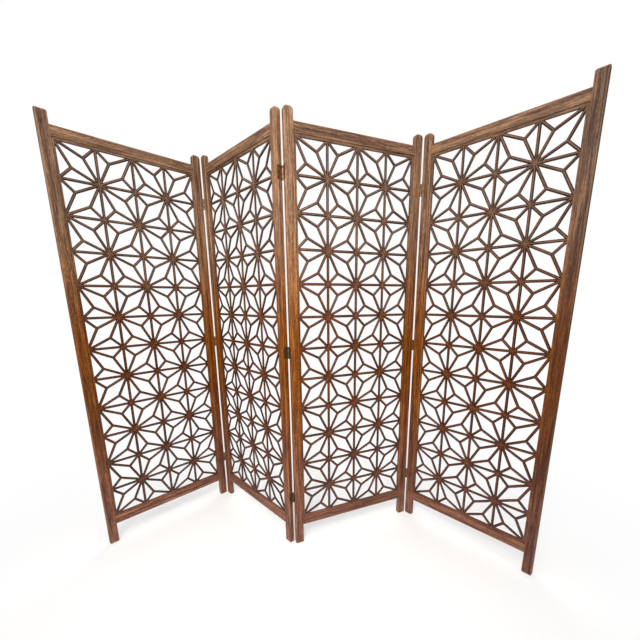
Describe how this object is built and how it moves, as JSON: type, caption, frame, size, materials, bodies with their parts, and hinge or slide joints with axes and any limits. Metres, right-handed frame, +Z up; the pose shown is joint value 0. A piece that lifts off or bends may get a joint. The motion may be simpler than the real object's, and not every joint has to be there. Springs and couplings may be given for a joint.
{
  "type": "folding screen",
  "caption": "Free-standing folding wooden room screen: hinged panels on stile feet, each filled with a see-through star lattice glued up from small bevelled sticks.",
  "frame": {"origin": "on the floor, under the middle of the bounding box of the screen as it stands at rest", "axes": "+Z up; the front of the screen faces -Y; +X to the right seen from the front, from panel_1 towards panel_4"},
  "size_m": [1.9332, 0.6448, 1.829],
  "materials": {
    "frame_wood": "satin oiled teak, mid brown",
    "lattice_wood": "satin oiled teak, darker brown",
    "brass": "dull aged brass"
  },
  "bodies": {
    "panel_1": {"panel_1_left_stile": "frame_wood", "panel_1_right_stile": "frame_wood", "panel_1_bottom_rail": "frame_wood", "panel_1_top_rail": "frame_wood", "panel_1_border_strips": "lattice_wood", "panel_1_grid_sticks": "lattice_wood", "panel_1_petal_sticks": "lattice_wood", "panel_1_spur_sticks": "lattice_wood", "panel_1_hinge_screws": "brass", "hinge_12_bottom_left_leaf": "brass", "hinge_12_middle_left_leaf": "brass", "hinge_12_top_left_leaf": "brass", "hinge_12_pins": "brass"},
    "panel_2": {"panel_2_left_stile": "frame_wood", "panel_2_right_stile": "frame_wood", "panel_2_bottom_rail": "frame_wood", "panel_2_top_rail": "frame_wood", "panel_2_border_strips": "lattice_wood", "panel_2_grid_sticks": "lattice_wood", "panel_2_petal_sticks": "lattice_wood", "panel_2_spur_sticks": "lattice_wood", "panel_2_hinge_screws": "brass", "hinge_12_bottom_right_leaf": "brass", "hinge_12_middle_right_leaf": "brass", "hinge_12_top_right_leaf": "brass", "hinge_23_bottom_left_leaf": "brass", "hinge_23_middle_left_leaf": "brass", "hinge_23_top_left_leaf": "brass", "hinge_23_pins": "brass"},
    "panel_3": {"panel_3_left_stile": "frame_wood", "panel_3_right_stile": "frame_wood", "panel_3_bottom_rail": "frame_wood", "panel_3_top_rail": "frame_wood", "panel_3_border_strips": "lattice_wood", "panel_3_grid_sticks": "lattice_wood", "panel_3_petal_sticks": "lattice_wood", "panel_3_spur_sticks": "lattice_wood", "panel_3_hinge_screws": "brass", "hinge_23_bottom_right_leaf": "brass", "hinge_23_middle_right_leaf": "brass", "hinge_23_top_right_leaf": "brass", "hinge_34_bottom_left_leaf": "brass", "hinge_34_middle_left_leaf": "brass", "hinge_34_top_left_leaf": "brass", "hinge_34_pins": "brass"},
    "panel_4": {"panel_4_left_stile": "frame_wood", "panel_4_right_stile": "frame_wood", "panel_4_bottom_rail": "frame_wood", "panel_4_top_rail": "frame_wood", "panel_4_border_strips": "lattice_wood", "panel_4_grid_sticks": "lattice_wood", "panel_4_petal_sticks": "lattice_wood", "panel_4_spur_sticks": "lattice_wood", "panel_4_hinge_screws": "brass", "hinge_34_bottom_right_leaf": "brass", "hinge_34_middle_right_leaf": "brass", "hinge_34_top_right_leaf": "brass"}
  },
  "joints": [
    {"name": "fold_12", "type": "hinge", "parent": "panel_2", "child": "panel_1", "pos_m": [-0.52631, 0.30641, 0.924], "axis": [0, 0, 1], "range_deg": [-92, 88]},
    {"name": "fold_23", "type": "hinge", "parent": "panel_2", "child": "panel_3", "pos_m": [-0.06761, -0.1141, 0.924], "axis": [0, 0, 1], "range_deg": [-69, 111]},
    {"name": "fold_34", "type": "hinge", "parent": "panel_3", "child": "panel_4", "pos_m": [0.51132, 0.1141, 0.924], "axis": [0, 0, -1], "range_deg": [-69, 111]}
  ]
}
